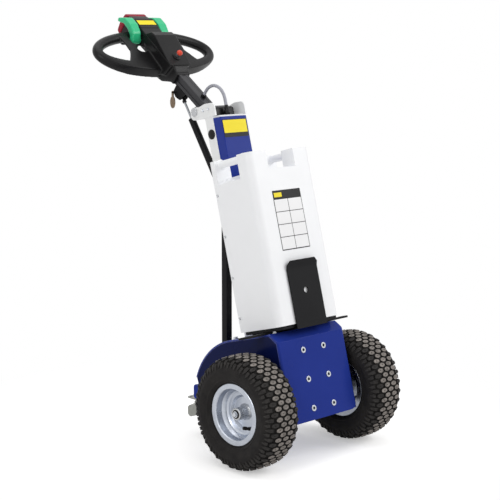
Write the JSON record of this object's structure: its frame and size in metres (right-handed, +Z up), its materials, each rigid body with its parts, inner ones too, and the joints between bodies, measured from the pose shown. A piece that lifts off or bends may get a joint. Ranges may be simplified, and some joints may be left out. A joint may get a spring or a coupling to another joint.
{
  "type": "walk-behind electric tug",
  "caption": "Walk-behind electric tug with turf tyres, swivel castors, a bolted hitch plate, a lift-off battery box and a gas-sprung tiller with a loop grip.",
  "frame": {"origin": "on the floor, under the middle of the overall box", "axes": "+Z up, -Y to the front where the hitch plate is, +X to the right seen from the front"},
  "size_m": [0.567, 0.9411, 1.2823],
  "materials": {
    "chassis_blue": "gloss powder coat",
    "zinc": "bright zinc plate",
    "box_white": "moulded satin",
    "column_white": "gloss powder coat",
    "black_metal": "satin powder coat",
    "black_plastic": "moulded, fine grain",
    "tyre": "moulded tread",
    "rim": "zinc plated pressing",
    "steel": "turned",
    "drive": "painted casting",
    "castor_tread": "moulded grey rubber",
    "green": "moulded",
    "red": "moulded",
    "cable": "extruded sheath",
    "chrome": "hard chrome",
    "fob": "worn bronze"
  },
  "bodies": {
    "chassis": {"front_plate": "chassis_blue", "hitch_inserts": "zinc", "side_plates": "chassis_blue", "top_deck": "chassis_blue", "floor_pan": "chassis_blue", "castor_beam": "chassis_blue", "castor_mounts": "zinc", "cross_bar": "black_metal", "battery_tray": "black_metal", "battery_guard": "black_metal", "battery_box": "box_white", "battery_posts": "box_white", "battery_handles": "box_white", "column": "column_white", "control_cover": "chassis_blue", "hinge_block": "black_plastic", "pivot_ears": "column_white", "pivot_pin": "steel", "cable_gland": "black_plastic", "braces": "black_metal", "spring_clevis": "black_metal", "drive_unit": "drive", "cable": "cable"},
    "wheel_left": {"tyre_left": "tyre", "rim_left": "rim", "hub_left": "steel"},
    "wheel_right": {"tyre_right": "tyre", "rim_right": "rim", "hub_right": "steel"},
    "castor_left": {"castor_fork_left": "zinc"},
    "castor_right": {"castor_fork_right": "zinc"},
    "castor_wheel_left": {"castor_wheel_left": "castor_tread"},
    "castor_wheel_right": {"castor_wheel_right": "castor_tread"},
    "tiller": {"tiller_shaft": "black_metal", "head_housing": "black_plastic", "control_pod": "black_plastic", "grip_left": "black_plastic", "grip_right": "black_plastic", "head_webs": "black_plastic", "throttles": "green", "belly_button": "red", "stop_knob": "red", "spring_bracket": "black_metal", "key_fob": "fob", "cable_clip": "black_plastic"},
    "gas_cylinder": {"gas_cylinder": "black_metal"},
    "gas_rod": {"gas_rod": "chrome"}
  },
  "joints": [
    {"name": "wheel_left_spin", "type": "hinge", "parent": "chassis", "child": "wheel_left", "pos_m": [-0.2215, -0.30559, 0.165], "axis": [1, 0, 0], "continuous": true},
    {"name": "wheel_right_spin", "type": "hinge", "parent": "chassis", "child": "wheel_right", "pos_m": [0.2215, -0.30559, 0.165], "axis": [1, 0, 0], "continuous": true},
    {"name": "castor_left_swivel", "type": "hinge", "parent": "chassis", "child": "castor_left", "pos_m": [-0.0975, -0.00359, 0.107], "axis": [0, 0, 1], "continuous": true},
    {"name": "castor_left_roll", "type": "hinge", "parent": "castor_left", "child": "castor_wheel_left", "pos_m": [-0.08767, -0.04029, 0.045], "axis": [0.9659, 0.2588, 0], "continuous": true},
    {"name": "castor_right_swivel", "type": "hinge", "parent": "chassis", "child": "castor_right", "pos_m": [0.0975, -0.00359, 0.107], "axis": [0, 0, 1], "continuous": true},
    {"name": "castor_right_roll", "type": "hinge", "parent": "castor_right", "child": "castor_wheel_right", "pos_m": [0.08767, -0.04029, 0.045], "axis": [0.9659, -0.2588, 0], "continuous": true},
    {"name": "tiller_tilt", "type": "hinge", "parent": "chassis", "child": "tiller", "pos_m": [0, 0.07672, 0.98735], "axis": [1, 0, 0], "range_deg": [-30, 20], "deforming": ["cable"]},
    {"name": "spring_swing", "type": "hinge", "parent": "chassis", "child": "gas_cylinder", "pos_m": [0, -0.02089, 0.67494], "axis": [1, 0, 0], "range_deg": [-8, 5.5]},
    {"name": "spring_slide", "type": "slide", "parent": "gas_cylinder", "child": "gas_rod", "axis": [0, 0.5381, 0.8429], "range_m": [-0.051, 0.034]}
  ],
  "couplings": [
    {"joint": "spring_swing", "follows": "tiller_tilt", "ratio": 0.24306},
    {"joint": "spring_slide", "follows": "tiller_tilt", "m_per_rad": 0.094799}
  ]
}
